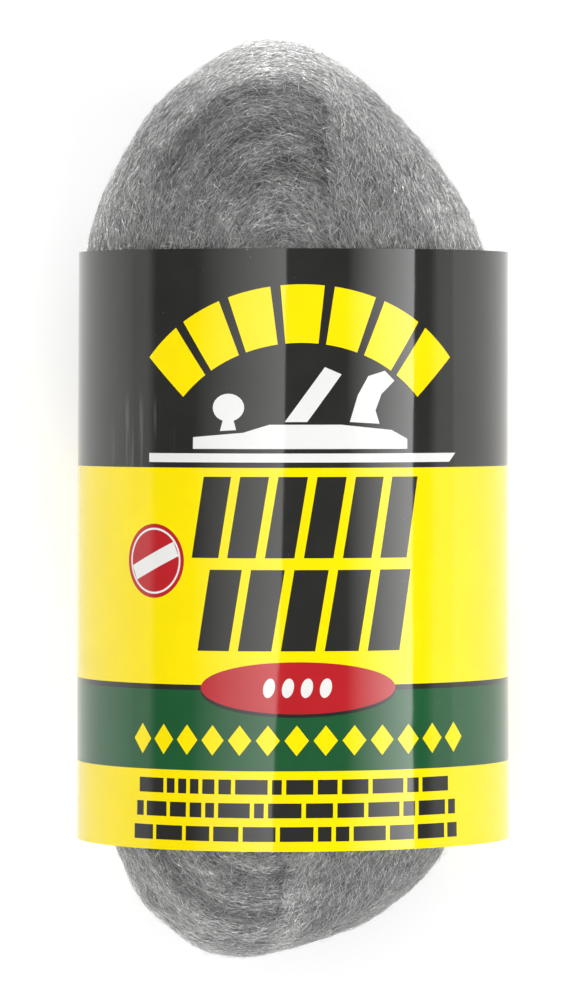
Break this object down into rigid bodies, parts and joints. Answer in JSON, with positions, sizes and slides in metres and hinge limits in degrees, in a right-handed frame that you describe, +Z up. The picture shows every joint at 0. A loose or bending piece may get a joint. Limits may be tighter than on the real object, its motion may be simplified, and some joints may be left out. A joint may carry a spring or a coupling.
{
  "type": "steel wool pad",
  "caption": "Long oval hank of fine steel wool, wound flat from a wide ribbon and held round its middle by a printed paper sleeve, for rubbing down and cleaning by hand.",
  "frame": {"origin": "on the surface it lies on, under the middle of its box; it lies on its back with its printed front up", "axes": "+Z up out of the printed front, +Y along its length towards the larger wool end, +X to the right as the front is read"},
  "size_m": [0.0994, 0.21, 0.094],
  "materials": {
    "steel_wool": "fine grey steel fibres with a soft sheen along their run, matte between them",
    "printed_paper": "glossy coated paper printed in black, yellow, green, red and white fields, bare white inside"
  },
  "bodies": {
    "root": {"wool_hank": "steel_wool", "paper_sleeve": "printed_paper"}
  },
  "joints": []
}
